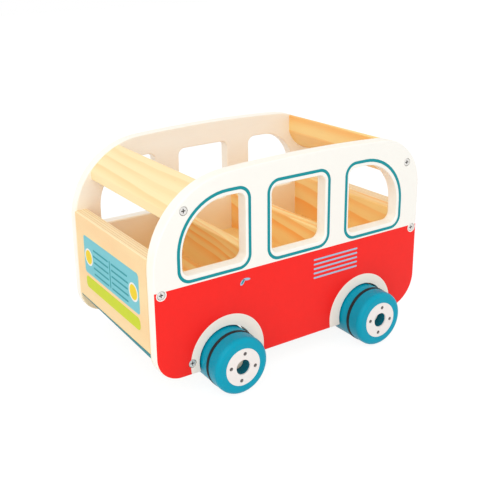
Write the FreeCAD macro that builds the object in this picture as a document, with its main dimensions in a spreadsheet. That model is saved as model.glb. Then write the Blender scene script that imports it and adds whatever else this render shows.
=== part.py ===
import FreeCAD, Part
import math
import os
import Sketcher

# Toy bus of painted board, plywood and pine that rolls on two turned wheel sets.
# The frame has its origin on the floor under the middle of the bus, the front towards -Y, +Z up.

# Driving dimensions in millimetres
SIZES = {
    "bus_length": 260.0,
    "bus_width": 154.0,
    "panel_thickness": 11.0,
    "panel_underside": 15.9,
    "roof_height": 173.4,
    "roof_crown_radius": 1300.0,
    "roof_crown_place": 12.0,
    "front_arch_radius": 69.0,
    "rear_arch_radius": 45.0,
    "front_corner_radius": 21.5,
    "rear_corner_radius": 28.0,
    "outer_edge_rounding": 1.8,
    "inner_edge_rounding": 1.0,
    "window_height": 55.2,
    "roof_rail_height": 20.7,
    "window_corner_radius": 6.5,
    "window_edge_rounding": 1.2,
    "front_pillar_width": 24.6,
    "front_post_place": 37.6,
    "front_post_width": 24.2,
    "rear_post_place": 39.25,
    "rear_post_width": 24.5,
    "rear_pillar_width": 24.7,
    "front_window_arch_radius": 40.0,
    "rear_window_arch_radius": 37.0,
    "wheel_arch_gap": 1.5,
    "end_panel_thickness": 12.0,
    "end_panel_underside": 37.1,
    "windscreen_gap": 25.0,
    "rear_screen_gap": 24.8,
    "end_panel_rounding": 1.4,
    "front_plank_setback": 1.0,
    "front_plank_from_end": 17.5,
    "front_plank_width": 28.5,
    "front_plank_end_height": 7.5,
    "rear_plank_setback": 0.3,
    "rear_plank_from_end": 4.5,
    "rear_plank_width": 25.5,
    "rear_plank_end_height": 14.2,
    "plank_inner_height": 17.0,
    "front_plank_belly": 3.0,
    "rear_plank_belly": 4.5,
    "plank_rounding": 1.2,
    "floor_top": 64.9,
    "floor_thickness": 10.0,
    "seat_back_thickness": 10.0,
    "seat_back_top": 101.9,
    "front_seat_back_step": 1.4,
    "middle_seat_back_step": 3.75,
    "seat_back_rounding": 1.2,
    "axle_from_end": 60.8,
    "axle_radius": 6.0,
    "axle_recess": 8.8,
    "axle_chamfer": 0.6,
    "axle_running_clearance": 0.08,
    "axle_seat_clearance": 0.03,
    "axle_block_width": 28.0,
    "axle_block_depth": 11.7,
    "axle_block_end_gap": 0.5,
    "axle_block_rounding": 1.5,
    "crossbar_wheel_gap": 2.4,
    "crossbar_height": 25.5,
    "crossbar_side": 10.0,
    "crossbar_rounding": 0.8,
    "wheel_radius": 23.3,
    "wheel_standout": 22.6,
    "wheel_inset": 4.0,
    "wheel_shoulder": 4.0,
    "wheel_inner_rounding": 1.5,
    "ring_place": 13.6,
    "ring_width": 3.2,
    "ring_depth": 1.6,
    "ring_proud": 0.3,
    "ring_rounding": 0.4,
    "hub_margin": 8.1,
    "hub_thickness": 1.2,
    "hub_proud": 0.4,
    "hub_rounding": 0.25,
    "hub_hole_radius": 6.1,
    "hub_clearance": 0.05,
    "dimple_radius": 1.5,
    "dimple_depth": 0.7,
    "screw_head_radius": 3.0,
    "screw_head_height": 2.0,
    "screw_shank_radius": 1.5,
    "screw_length": 26.0,
    "screw_tip_length": 3.0,
    "screw_slot_width": 0.9,
    "screw_slot_length": 3.6,
    "screw_slot_depth": 1.2,
    "screw_clearance": 0.05,
    "screw_well_radius": 3.5,
    "screw_well_depth": 2.4,
    "front_plank_screw_from_end": 26.9,
    "front_plank_screw_depth": 8.7,
    "rear_plank_screw_from_end": 15.0,
    "rear_plank_screw_depth": 11.6,
    "end_panel_screw_depth": 18.2,
    "cut_overrun": 5.0,
}
# Radius of a screw's point as a share of its shank's
TIP_RADIUS_SHARE = 0.25
# Longest share of a window's side that one corner may take
CORNER_LIMIT_SHARE = 0.95
# How far out the dimples' circle lies on the disc, and the first dimple's place on it, along and up
DIMPLE_CIRCLE_SHARE = 0.54
DIMPLE_SHARES = (0.988, -0.156)


class Size:
    """A length with its value and the formula that gives it from the sheet."""

    def __init__(self, value, formula):
        self.value = value
        self.formula = formula

    def __add__(self, other):
        other = as_size(other)
        return Size(self.value + other.value, "(%s + %s)" % (self.formula, other.formula))

    def __sub__(self, other):
        other = as_size(other)
        return Size(self.value - other.value, "(%s - %s)" % (self.formula, other.formula))

    def __mul__(self, other):
        other = as_size(other)
        return Size(self.value * other.value, "(%s * %s)" % (self.formula, other.formula))

    def __truediv__(self, other):
        other = as_size(other)
        return Size(self.value / other.value, "(%s / %s)" % (self.formula, other.formula))

    def __rmul__(self, other):
        return as_size(other) * self

    def __neg__(self):
        return Size(-self.value, "(0 - %s)" % self.formula)


def as_size(number):
    if isinstance(number, Size):
        return number
    return Size(float(number), "%r" % float(number))


def least(first, second):
    value = min(first.value, second.value)
    return Size(value, "min(%s; %s)" % (first.formula, second.formula))


def root(size):
    return Size(math.sqrt(size.value), "sqrt(%s)" % size.formula)


doc = FreeCAD.newDocument("toy_bus")
sheet = doc.addObject("Spreadsheet::Sheet", "sizes")
for row, (alias, number) in enumerate(SIZES.items(), start=1):
    sheet.set("A%d" % row, alias)
    sheet.set("B%d" % row, "%r" % number)
    sheet.setAlias("B%d" % row, alias)
doc.recompute()

ZERO = as_size(0)
SIDES = {"right": 1, "left": -1}
ENDS = {"front": -1, "rear": 1}
nodes = {}


def size(alias):
    return Size(float(sheet.get(alias)), "sizes." + alias)


# Places that more than one piece uses
half_length = size("bus_length") / 2
half_width = size("bus_width") / 2
inner_half = half_width - size("panel_thickness")
axle_height = size("wheel_radius") + size("ring_proud")
wheel_face = half_width + size("wheel_standout")
wheel_back = inner_half - size("wheel_inset")
hub_radius = size("wheel_radius") - size("hub_margin")
axle_place = half_length - size("axle_from_end")
crossbar_place = axle_place + size("wheel_radius") + size("crossbar_wheel_gap") + size("crossbar_side") / 2
overrun = size("cut_overrun")
crown_centre_height = size("roof_height") - size("roof_crown_radius")


def arch_centre(end):
    """Centre of the roof's end arch, which meets the crown and the panel's end edge smoothly."""
    radius = size(end + "_arch_radius")
    place = (half_length - radius) * ENDS[end]
    reach = size("roof_crown_radius") - radius
    across = place - size("roof_crown_place")
    return place, crown_centre_height + root(reach * reach - across * across)


def arch_height(end, place, setback):
    """Height of the end arch, drawn in by a setback, over one place along the bus."""
    centre, height = arch_centre(end)
    radius = size(end + "_arch_radius") - setback
    across = place - centre
    return height + root(radius * radius - across * across)


def plank_edges(end):
    """Where a roof plank begins and ends, and the heights of its outer edge."""
    sign = ENDS[end]
    outer = (half_length - size(end + "_plank_from_end")) * sign
    inner = outer - size(end + "_plank_width") * sign
    outer_top = arch_height(end, outer, size(end + "_plank_setback"))
    return inner, outer, outer_top, outer_top - size(end + "_plank_end_height")


panel_top = {
    "front": plank_edges("front")[3] - size("windscreen_gap"),
    "rear": plank_edges("rear")[3] - size("rear_screen_gap"),
}
end_panel_screw_height = panel_top["rear"] - size("end_panel_screw_depth")


# Sketch helpers
def vector(first, second):
    return FreeCAD.Vector(first.value, second.value, 0)


def new_body(name):
    body = doc.addObject("PartDesign::Body", name)
    body.Label = name
    nodes[name] = body
    return body


def new_sketch(body, name, role, offset=ZERO):
    sketch = body.newObject("Sketcher::SketchObject", name)
    plane = [item for item in body.Origin.OriginFeatures if item.Role == role][0]
    sketch.AttachmentSupport = (plane, [""])
    sketch.MapMode = "FlatFace"
    sketch.setExpression("AttachmentOffset.Base.z", offset.formula)
    return sketch


def hold(sketch, kind, *details):
    """Add a constraint whose last detail is a size, bound to the sheet."""
    length = details[-1]
    index = sketch.addConstraint(Sketcher.Constraint(kind, *details[:-1], length.value))
    sketch.setExpression("Constraints[%d]" % index, length.formula)


def add_disc(sketch, across, up, radius):
    circle = sketch.addGeometry(Part.Circle(vector(across, up), FreeCAD.Vector(0, 0, 1), radius.value))
    hold(sketch, "Radius", circle, radius)
    hold(sketch, "DistanceX", -1, 1, circle, 3, across)
    hold(sketch, "DistanceY", -1, 1, circle, 3, up)


def add_polygon(sketch, corners):
    """Draw straight sides through corners that are each held to the origin."""
    first = sketch.GeometryCount
    count = len(corners)
    for index in range(count):
        sketch.addGeometry(Part.LineSegment(vector(*corners[index]), vector(*corners[(index + 1) % count])))
    for index in range(count):
        following = (index + 1) % count
        sketch.addConstraint(Sketcher.Constraint("Coincident", first + index, 2, first + following, 1))
        hold(sketch, "DistanceX", -1, 1, first + index, 1, corners[index][0])
        hold(sketch, "DistanceY", -1, 1, first + index, 1, corners[index][1])


def add_rectangle(sketch, left, right, low, high):
    add_polygon(sketch, [(left, low), (right, low), (right, high), (left, high)])


def add_arc(sketch, centre, radius, start_angle, end_angle):
    circle = Part.Circle(vector(*centre), FreeCAD.Vector(0, 0, 1), radius.value)
    return sketch.addGeometry(Part.ArcOfCircle(circle, math.radians(start_angle), math.radians(end_angle)))


def add_window(sketch, left, right, low, high, radii):
    """Draw a rectangle with four corner radii, counted from the lower left, anticlockwise."""
    low_left, low_right, high_right, high_left = radii
    centres = [
        (left + low_left, low + low_left), (right - low_right, low + low_right),
        (right - high_right, high - high_right), (left + high_left, high - high_left),
    ]
    sides = [
        ((left + low_left, low), (right - low_right, low)),
        ((right, low + low_right), (right, high - high_right)),
        ((right - high_right, high), (left + high_left, high)),
        ((left, high - high_left), (left, low + low_left)),
    ]
    lines = [sketch.addGeometry(Part.LineSegment(vector(*start), vector(*end))) for start, end in sides]
    starts = [180, 270, 0, 90]
    arcs = [add_arc(sketch, centres[i], radii[i], starts[i], starts[i] + 90) for i in range(4)]
    for index in range(4):
        following = (index + 1) % 4
        sketch.addConstraint(Sketcher.Constraint("Tangent", lines[index], 2, arcs[following], 1))
        sketch.addConstraint(Sketcher.Constraint("Tangent", arcs[index], 2, lines[index], 1))
        hold(sketch, "Radius", arcs[index], radii[index])
    for index in (0, 2):
        sketch.addConstraint(Sketcher.Constraint("Horizontal", lines[index]))
    for index in (1, 3):
        sketch.addConstraint(Sketcher.Constraint("Vertical", lines[index]))
    hold(sketch, "DistanceY", -1, 1, lines[0], 1, low)
    hold(sketch, "DistanceX", -1, 1, lines[1], 1, right)
    hold(sketch, "DistanceY", -1, 1, lines[2], 1, high)
    hold(sketch, "DistanceX", -1, 1, lines[3], 1, left)


# Feature helpers
def pad(body, sketch, length, backwards=False):
    feature = body.newObject("PartDesign::Pad", sketch.Name + "_pad")
    feature.Profile = sketch
    feature.Reversed = backwards
    feature.setExpression("Length", length.formula)
    doc.recompute()
    return feature


def pocket(body, sketch, length, backwards=False):
    """Cut a sketch into the body and make sure that it took material away."""
    before = body.Shape.Volume
    feature = body.newObject("PartDesign::Pocket", sketch.Name + "_cut")
    feature.Profile = sketch
    feature.Reversed = backwards
    feature.setExpression("Length", length.formula)
    doc.recompute()
    if not body.Shape.Volume < before:
        raise RuntimeError(feature.Name + " cut nothing")
    return feature


def revolve(body, sketch):
    feature = body.newObject("PartDesign::Revolution", sketch.Name + "_turned")
    feature.Profile = sketch
    feature.ReferenceAxis = (sketch, ["H_Axis"])
    feature.Angle = 360
    doc.recompute()
    return feature


def round_edges(body, name, radius, wanted):
    """Fillet the edges whose bounding box passes a test."""
    base = body.Tip
    edges = ["Edge%d" % (i + 1) for i, edge in enumerate(base.Shape.Edges) if wanted(edge)]
    feature = body.newObject("PartDesign::Fillet", name)
    feature.Base = (base, edges)
    feature.setExpression("Radius", radius.formula)
    doc.recompute()
    if "Invalid" in feature.State or not edges:
        raise RuntimeError("%s failed on %d edges" % (name, len(edges)))
    return feature


def near(first, second):
    return abs(first - second) < Part.Precision.confusion() * 100


def flat_at(axis, place):
    """Test for edges that lie in one plane square to an axis."""
    low, high = axis + "Min", axis + "Max"

    def test(edge):
        box = edge.BoundBox
        return near(getattr(box, low), place.value) and near(getattr(box, high), place.value)
    return test


def drill_ends(body, name, place, height, depth):
    """Pilot holes for the screws that come through both side panels."""
    radius = size("screw_shank_radius") + size("screw_clearance")
    for side, sign in SIDES.items():
        sketch = new_sketch(body, "%s_%s" % (name, side), "YZ_Plane", inner_half * sign)
        add_disc(sketch, place, height, radius)
        pocket(body, sketch, depth, backwards=sign < 0)


def screw_places():
    """Where the screws go through each side panel: plank, end panel and crossbar at each end."""
    middle = half_length - size("end_panel_thickness") / 2
    return {
        "roof_plank_screws": [plank_screw("front"), plank_screw("rear")],
        "end_panel_screws": [(-middle, end_panel_screw_height), (middle, end_panel_screw_height)],
        "crossbar_screws": [
            (-crossbar_place, size("crossbar_height")), (crossbar_place, size("crossbar_height")),
        ],
    }


def plank_screw(end):
    place = (half_length - size(end + "_plank_screw_from_end")) * ENDS[end]
    return place, arch_height(end, place, ZERO) - size(end + "_plank_screw_depth")


pilot_depth = (size("screw_length") + size("screw_well_depth") - size("panel_thickness")
               + size("screw_clearance"))


# Side panels with three windows and two wheel arches
def panel_outline(sketch):
    low = size("panel_underside")
    front, rear = -half_length, half_length
    front_round, rear_round = size("front_corner_radius"), size("rear_corner_radius")
    crown = (size("roof_crown_place"), crown_centre_height)
    crown_radius = size("roof_crown_radius")
    front_arch, rear_arch = arch_centre("front"), arch_centre("rear")

    def angle(centre):
        return math.degrees(math.atan2(centre[1].value - crown[1].value, centre[0].value - crown[0].value))
    bottom = sketch.addGeometry(Part.LineSegment(vector(front + front_round, low), vector(rear - rear_round, low)))
    rear_low = add_arc(sketch, (rear - rear_round, low + rear_round), rear_round, 270, 360)
    rear_side = sketch.addGeometry(Part.LineSegment(vector(rear, low + rear_round), vector(rear, rear_arch[1])))
    rear_high = add_arc(sketch, rear_arch, size("rear_arch_radius"), 0, angle(rear_arch))
    roof = add_arc(sketch, crown, crown_radius, angle(rear_arch), angle(front_arch))
    front_high = add_arc(sketch, front_arch, size("front_arch_radius"), angle(front_arch), 180)
    front_side = sketch.addGeometry(Part.LineSegment(vector(front, front_arch[1]), vector(front, low + front_round)))
    front_low = add_arc(sketch, (front + front_round, low + front_round), front_round, 180, 270)
    chain = [bottom, rear_low, rear_side, rear_high, roof, front_high, front_side, front_low]
    for index, piece in enumerate(chain):
        following = chain[(index + 1) % len(chain)]
        sketch.addConstraint(Sketcher.Constraint("Tangent", piece, 2, following, 1))
    sketch.addConstraint(Sketcher.Constraint("Horizontal", bottom))
    sketch.addConstraint(Sketcher.Constraint("Vertical", rear_side))
    sketch.addConstraint(Sketcher.Constraint("Vertical", front_side))
    hold(sketch, "DistanceY", -1, 1, bottom, 1, low)
    hold(sketch, "DistanceX", -1, 1, rear_side, 1, rear)
    hold(sketch, "DistanceX", -1, 1, front_side, 1, front)
    hold(sketch, "Radius", rear_low, rear_round)
    hold(sketch, "Radius", front_low, front_round)
    hold(sketch, "Radius", rear_high, size("rear_arch_radius"))
    hold(sketch, "Radius", front_high, size("front_arch_radius"))
    hold(sketch, "Radius", roof, crown_radius)
    hold(sketch, "DistanceX", -1, 1, roof, 3, crown[0])
    hold(sketch, "DistanceY", -1, 1, roof, 3, crown[1])


def side_panel(side):
    sign = SIDES[side]
    name = "side_panel_" + side
    body = new_body(name)
    inner, outer = inner_half * sign, half_width * sign
    outline = new_sketch(body, name + "_outline", "YZ_Plane", inner)
    panel_outline(outline)
    pad(body, outline, size("panel_thickness"), backwards=sign < 0)

    round_edges(body, name + "_rim", size("outer_edge_rounding"), flat_at("X", outer))
    round_edges(body, name + "_back_rim", size("inner_edge_rounding"), flat_at("X", inner))

    small = size("window_corner_radius")
    head = size("roof_height") - size("roof_rail_height")
    sill = head - size("window_height")
    front_edge, rear_edge = size("front_pillar_width") - half_length, half_length - size("rear_pillar_width")
    front_post, rear_post = -size("front_post_place"), size("rear_post_place")
    front_half, rear_half = size("front_post_width") / 2, size("rear_post_width") / 2

    def arch(end, width):
        """Radius of the corner that follows the roof's arch, kept within its window."""
        side = least(width, head - sill) - small
        return least(size(end + "_window_arch_radius"), side * CORNER_LIMIT_SHARE)
    front_arch = arch("front", front_post - front_half - front_edge)
    rear_arch = arch("rear", rear_edge - rear_post - rear_half)
    openings = [
        (front_edge, front_post - front_half, (small, small, small, front_arch)),
        (front_post + front_half, rear_post - rear_half, (small, small, small, small)),
        (rear_post + rear_half, rear_edge, (small, small, rear_arch, small)),
    ]
    through = size("panel_thickness") + overrun * 2
    windows = new_sketch(body, name + "_windows", "YZ_Plane", inner - overrun * sign)
    for left, right, radii in openings:
        add_window(windows, left, right, sill, head, radii)
    pocket(body, windows, through, backwards=sign > 0)
    on_outer, on_inner = flat_at("X", outer), flat_at("X", inner)

    def round_window(edge):
        box = edge.BoundBox
        inside = max(abs(box.YMin), abs(box.YMax)) < half_length.value - overrun.value
        return (on_outer(edge) or on_inner(edge)) and inside and sill.value - overrun.value < box.ZMin \
            and box.ZMax < head.value + overrun.value
    round_edges(body, name + "_window_rims", size("window_edge_rounding"), round_window)
    arches = new_sketch(body, name + "_arches", "YZ_Plane", inner - overrun * sign)
    for end in ENDS.values():
        add_disc(arches, axle_place * end, axle_height, size("wheel_radius") + size("wheel_arch_gap"))
    pocket(body, arches, through, backwards=sign > 0)

    shank = size("screw_shank_radius") + size("screw_clearance")
    wells = new_sketch(body, name + "_screw_wells", "YZ_Plane", outer)
    holes = new_sketch(body, name + "_screw_holes", "YZ_Plane", outer)
    for places in screw_places().values():
        for place, height in places:
            add_disc(wells, place, height, size("screw_well_radius"))
            add_disc(holes, place, height, shank)
    pocket(body, wells, size("screw_well_depth"), backwards=sign < 0)
    pocket(body, holes, size("panel_thickness") + overrun, backwards=sign < 0)


# Boards that stand or lie between the side panels
def board(name, front, rear, low, high):
    body = new_body(name)
    sketch = new_sketch(body, name + "_section", "YZ_Plane", -inner_half)
    add_rectangle(sketch, front, rear, low, high)
    pad(body, sketch, inner_half * 2)
    return body


def across_bus(edge):
    """Test for straight edges that run from one side panel to the other."""
    box = edge.BoundBox
    return near(box.YMin, box.YMax) and near(box.ZMin, box.ZMax)


def end_panel(end):
    sign = ENDS[end]
    face, back = half_length * sign, (half_length - size("end_panel_thickness")) * sign
    body = board(end + "_panel", face, back, size("end_panel_underside"), panel_top[end])
    drill_ends(body, end + "_panel_pilot", (face + back) / 2, end_panel_screw_height, pilot_depth)
    round_edges(body, end + "_panel_edges", size("end_panel_rounding"), across_bus)


def roof_plank(end):
    """Plank that closes one end of the roof, its top following the panels' arch."""
    sign = ENDS[end]
    inner, outer, outer_top, outer_low = plank_edges(end)
    setback = size(end + "_plank_setback")
    centre = arch_centre(end)
    radius = size(end + "_arch_radius") - setback
    inner_top = arch_height(end, inner, setback)
    inner_low = inner_top - size("plank_inner_height")
    body = new_body(end + "_roof_plank")
    sketch = new_sketch(body, end + "_plank_section", "YZ_Plane", -inner_half)

    def angle(place, height):
        return math.degrees(math.atan2(height.value - centre[1].value, place.value - centre[0].value))
    inner_angle, outer_angle = angle(inner, inner_top), angle(outer, outer_top)
    top = add_arc(sketch, centre, radius, min(inner_angle, outer_angle), max(inner_angle, outer_angle))
    top_inner, top_outer = (1, 2) if inner_angle < outer_angle else (2, 1)
    end_face = sketch.addGeometry(Part.LineSegment(vector(outer, outer_top), vector(outer, outer_low)))
    inner_face = sketch.addGeometry(Part.LineSegment(vector(inner, inner_low), vector(inner, inner_top)))
    belly = size(end + "_plank_belly")
    run, rise = outer - inner, inner_low - outer_low
    chord = root(run * run + rise * rise)
    under_radius = (chord * chord / 4 + belly * belly) / (belly * 2)
    lift = (under_radius - belly) / chord
    under_centre = ((inner + outer) / 2 + lift * rise * sign, (inner_low + outer_low) / 2 + lift * run * sign)
    ends = sorted([(outer, outer_low), (inner, inner_low)], key=lambda point: point[0].value)
    under_angles = [math.degrees(math.atan2(point[1].value - under_centre[1].value,
                                            point[0].value - under_centre[0].value)) % 360 for point in ends]
    under = add_arc(sketch, under_centre, under_radius, *under_angles)
    under_outer, under_inner = (1, 2) if sign < 0 else (2, 1)
    for first, first_end, second, second_end in (
            (top, top_outer, end_face, 1), (end_face, 2, under, under_outer),
            (under, under_inner, inner_face, 1), (inner_face, 2, top, top_inner)):
        sketch.addConstraint(Sketcher.Constraint("Coincident", first, first_end, second, second_end))
    hold(sketch, "Radius", top, radius)
    hold(sketch, "DistanceX", -1, 1, top, 3, centre[0])
    hold(sketch, "DistanceY", -1, 1, top, 3, centre[1])
    hold(sketch, "DistanceX", -1, 1, end_face, 1, outer)
    hold(sketch, "DistanceX", -1, 1, end_face, 2, outer)
    hold(sketch, "DistanceY", -1, 1, end_face, 2, outer_low)
    hold(sketch, "DistanceX", -1, 1, inner_face, 1, inner)
    hold(sketch, "DistanceY", -1, 1, inner_face, 1, inner_low)
    hold(sketch, "DistanceX", -1, 1, inner_face, 2, inner)
    hold(sketch, "Radius", under, under_radius)
    pad(body, sketch, inner_half * 2)
    drill_ends(body, end + "_plank_pilot", *plank_screw(end), pilot_depth)
    round_edges(body, end + "_plank_edges", size("plank_rounding"), across_bus)


def floor_board():
    reach = half_length - size("end_panel_thickness")
    board("floor_board", -reach, reach, size("floor_top") - size("floor_thickness"), size("floor_top"))


def seat_backs():
    """Upright boards on the floor, in line with the window posts and against the rear panel."""
    thickness = size("seat_back_thickness")
    top, against_panel = size("seat_back_top"), half_length - size("end_panel_thickness")
    front_middle = -size("front_post_place") - size("front_seat_back_step")
    rear_middle = size("rear_post_place") - size("middle_seat_back_step")
    rows = {
        "front_seat_back": (front_middle - thickness / 2, top),
        "middle_seat_back": (rear_middle - thickness / 2, top),
        "rear_seat_back": (against_panel - thickness, panel_top["rear"]),
    }
    for name, (front, high) in rows.items():
        body = board(name, front, front + thickness, size("floor_top"), high)
        at_top = flat_at("Z", high)
        round_edges(body, name + "_top_edges", size("seat_back_rounding"),
                    lambda edge, at_top=at_top: at_top(edge) and across_bus(edge))


# Chassis
def axle_block(end):
    """Block under the floor whose bore carries the axle."""
    centre = axle_place * ENDS[end]
    half = size("axle_block_width") / 2
    low, high = axle_height - size("axle_block_depth"), size("floor_top") - size("floor_thickness")
    reach = wheel_back - size("axle_block_end_gap")
    body = new_body(end + "_axle_block")
    section = new_sketch(body, end + "_block_section", "YZ_Plane", -reach)
    add_rectangle(section, centre - half, centre + half, low, high)
    pad(body, section, reach * 2)
    bore = new_sketch(body, end + "_block_bore", "YZ_Plane", -reach - overrun)
    add_disc(bore, centre, axle_height, size("axle_radius") + size("axle_running_clearance"))
    pocket(body, bore, (reach + overrun) * 2, backwards=True)
    at_bottom = flat_at("Z", low)
    round_edges(body, end + "_block_edges", size("axle_block_rounding"),
                lambda edge: at_bottom(edge) and across_bus(edge))


def crossbar(end):
    centre = crossbar_place * ENDS[end]
    half = size("crossbar_side") / 2
    height = size("crossbar_height")
    body = board(end + "_crossbar", centre - half, centre + half, height - half, height + half)
    drill_ends(body, end + "_crossbar_pilot", centre, height, pilot_depth)
    round_edges(body, end + "_crossbar_edges", size("crossbar_rounding"), across_bus)


# Wheel sets, drawn about the axle and placed at each end
def place_on_axle(body, end):
    body.setExpression("Placement.Base.y", (axle_place * ENDS[end]).formula)
    body.setExpression("Placement.Base.z", axle_height.formula)


def turned(name, end, profile):
    body = new_body(name)
    sketch = new_sketch(body, name + "_profile", "XY_Plane")
    add_polygon(sketch, profile)
    revolve(body, sketch)
    place_on_axle(body, end)
    return body


def ring_at(place, radius):
    """Test for round edges at one place along the axle with one radius."""
    def test(edge):
        curve = edge.Curve
        return isinstance(curve, Part.Circle) and near(curve.Radius, radius.value) \
            and near(edge.BoundBox.XMin, place.value) and near(edge.BoundBox.XMax, place.value)
    return test


def wheel(end, side):
    sign = SIDES[side]
    name = "%s_wheel_%s" % (end, side)
    radius, bore = size("wheel_radius"), size("axle_radius") + size("axle_seat_clearance")
    recess = hub_radius + size("hub_clearance")
    seat = wheel_face - (size("hub_thickness") - size("hub_proud"))
    ring_centre = wheel_face - size("ring_place")
    groove_low, groove_high = ring_centre - size("ring_width") / 2, ring_centre + size("ring_width") / 2
    groove_floor = radius - size("ring_depth")
    corners = [
        (wheel_back, bore), (seat, bore), (seat, recess), (wheel_face, recess), (wheel_face, radius),
        (groove_high, radius), (groove_high, groove_floor), (groove_low, groove_floor),
        (groove_low, radius), (wheel_back, radius),
    ]
    body = turned(name, end, [(across * sign, out) for across, out in corners])
    round_edges(body, name + "_shoulder", size("wheel_shoulder"), ring_at(wheel_face * sign, radius))
    round_edges(body, name + "_back_edge", size("wheel_inner_rounding"), ring_at(wheel_back * sign, radius))


def tyre_ring(end, side):
    sign = SIDES[side]
    name = "%s_grip_ring_%s" % (end, side)
    centre = wheel_face - size("ring_place")
    low, high = centre - size("ring_width") / 2, centre + size("ring_width") / 2
    floor_radius = size("wheel_radius") - size("ring_depth")
    top = size("wheel_radius") + size("ring_proud")
    corners = [(low, floor_radius), (high, floor_radius), (high, top), (low, top)]
    body = turned(name, end, [(across * sign, out) for across, out in corners])
    on_low, on_high = ring_at(low * sign, top), ring_at(high * sign, top)
    round_edges(body, name + "_edges", size("ring_rounding"), lambda edge: on_low(edge) or on_high(edge))


def hub_disc(end, side):
    sign = SIDES[side]
    name = "%s_hub_disc_%s" % (end, side)
    face = wheel_face + size("hub_proud")
    seat = face - size("hub_thickness")
    hole = size("hub_hole_radius")
    corners = [(seat, hole), (seat, hub_radius), (face, hub_radius), (face, hole)]
    body = turned(name, end, [(across * sign, out) for across, out in corners])
    outer_rim, inner_rim = ring_at(face * sign, hub_radius), ring_at(face * sign, hole)
    round_edges(body, name + "_rims", size("hub_rounding"), lambda edge: outer_rim(edge) or inner_rim(edge))
    dimple = new_sketch(body, name + "_dimple", "YZ_Plane", face * sign)
    circle = hole + (hub_radius - hole) * DIMPLE_CIRCLE_SHARE
    add_disc(dimple, circle * DIMPLE_SHARES[0], circle * DIMPLE_SHARES[1], size("dimple_radius"))
    cut = pocket(body, dimple, size("dimple_depth"), backwards=sign < 0)
    before = body.Shape.Volume
    pattern = body.newObject("PartDesign::PolarPattern", name + "_dimples")
    pattern.Originals = [cut]
    pattern.Axis = ([item for item in body.Origin.OriginFeatures if item.Role == "X_Axis"][0], [""])
    pattern.Angle = 360
    pattern.Occurrences = 4
    body.Tip = pattern
    doc.recompute()
    if not body.Shape.Volume < before:
        raise RuntimeError(name + " has one dimple")


def axle(end):
    name = end + "_axle"
    body = new_body(name)
    reach = wheel_face + size("hub_proud") - size("axle_recess")
    sketch = new_sketch(body, name + "_section", "YZ_Plane", -reach)
    add_disc(sketch, ZERO, ZERO, size("axle_radius"))
    bar = pad(body, sketch, reach * 2)
    edges = ["Edge%d" % (i + 1) for i, edge in enumerate(bar.Shape.Edges) if edge.isClosed()]
    chamfer = body.newObject("PartDesign::Chamfer", name + "_ends")
    chamfer.Base = (bar, edges)
    chamfer.setExpression("Size", size("axle_chamfer").formula)
    place_on_axle(body, end)
    doc.recompute()


# Screws, one group for each row of holes
def primitive(kind, name, lengths):
    solid = doc.addObject(kind, name)
    for field, length in lengths.items():
        solid.setExpression(field, length.formula)
    return solid


def one_screw(name, sign, place, height):
    """Cross-slot screw that lies along X with its head in the panel's well."""
    head_height, length = size("screw_head_height"), size("screw_length")
    tip_length = size("screw_tip_length")
    seat = half_width - size("screw_well_depth")
    turn = FreeCAD.Rotation(FreeCAD.Vector(0, 1, 0), 90 * sign)
    shank_length = length - tip_length

    def along(solid, distance):
        solid.Placement.Rotation = turn
        solid.setExpression("Placement.Base.x", (distance * sign).formula)
        solid.setExpression("Placement.Base.y", place.formula)
        solid.setExpression("Placement.Base.z", height.formula)
    head = primitive("Part::Cylinder", name + "_head", {
        "Radius": size("screw_head_radius"), "Height": head_height})
    along(head, seat)
    shank = primitive("Part::Cylinder", name + "_shank", {
        "Radius": size("screw_shank_radius"), "Height": shank_length})
    along(shank, seat - shank_length)
    tip = primitive("Part::Cone", name + "_tip", {
        "Radius1": size("screw_shank_radius") * TIP_RADIUS_SHARE, "Radius2": size("screw_shank_radius"),
        "Height": tip_length})
    along(tip, seat - length)
    whole = doc.addObject("Part::MultiFuse", name + "_whole")
    whole.Shapes = [head, shank, tip]
    slots = []
    for index, (wide, tall) in enumerate((("screw_slot_length", "screw_slot_width"),
                                          ("screw_slot_width", "screw_slot_length"))):
        slot = primitive("Part::Box", "%s_slot_%d" % (name, index + 1), {
            "Length": size("screw_slot_depth") + overrun, "Width": size(wide), "Height": size(tall)})
        low = seat + head_height - size("screw_slot_depth")
        start = low if sign > 0 else -low - size("screw_slot_depth") - overrun
        slot.setExpression("Placement.Base.x", start.formula)
        slot.setExpression("Placement.Base.y", (place - size(wide) / 2).formula)
        slot.setExpression("Placement.Base.z", (height - size(tall) / 2).formula)
        slots.append(slot)
    cross = doc.addObject("Part::MultiFuse", name + "_cross")
    cross.Shapes = slots
    screw = doc.addObject("Part::Cut", name)
    screw.Base = whole
    screw.Tool = cross
    return screw


def screw_group(name, places):
    screws = []
    for side, sign in SIDES.items():
        for end, (place, height) in zip(ENDS, places):
            screws.append(one_screw("%s_%s_%s" % (name, end, side), sign, place, height))
    group = doc.addObject("Part::Compound", name)
    group.Label = name
    group.Links = screws
    nodes[name] = group


for side in SIDES:
    side_panel(side)
for end in ENDS:
    end_panel(end)
    roof_plank(end)
    axle_block(end)
    crossbar(end)
floor_board()
seat_backs()
for end in ENDS:
    axle(end)
    for side in SIDES:
        wheel(end, side)
        tyre_ring(end, side)
        hub_disc(end, side)
for group_name, group_places in screw_places().items():
    screw_group(group_name, group_places)
doc.recompute()

# Every object has to be sound before anything is written
for item in doc.Objects:
    if "Invalid" in item.State or "Error" in item.State:
        raise RuntimeError("%s is %s" % (item.Name, item.State))
for name, item in nodes.items():
    shape = item.Shape
    if shape.isNull() or not shape.isValid():
        raise RuntimeError(name + " has no sound shape")
os.makedirs("parts", exist_ok=True)
for name, item in nodes.items():
    item.Shape.exportStep("parts/%s.step" % name)
    print("%-24s %8.1f mm3  %d solid" % (name, item.Shape.Volume, len(item.Shape.Solids)))
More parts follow.
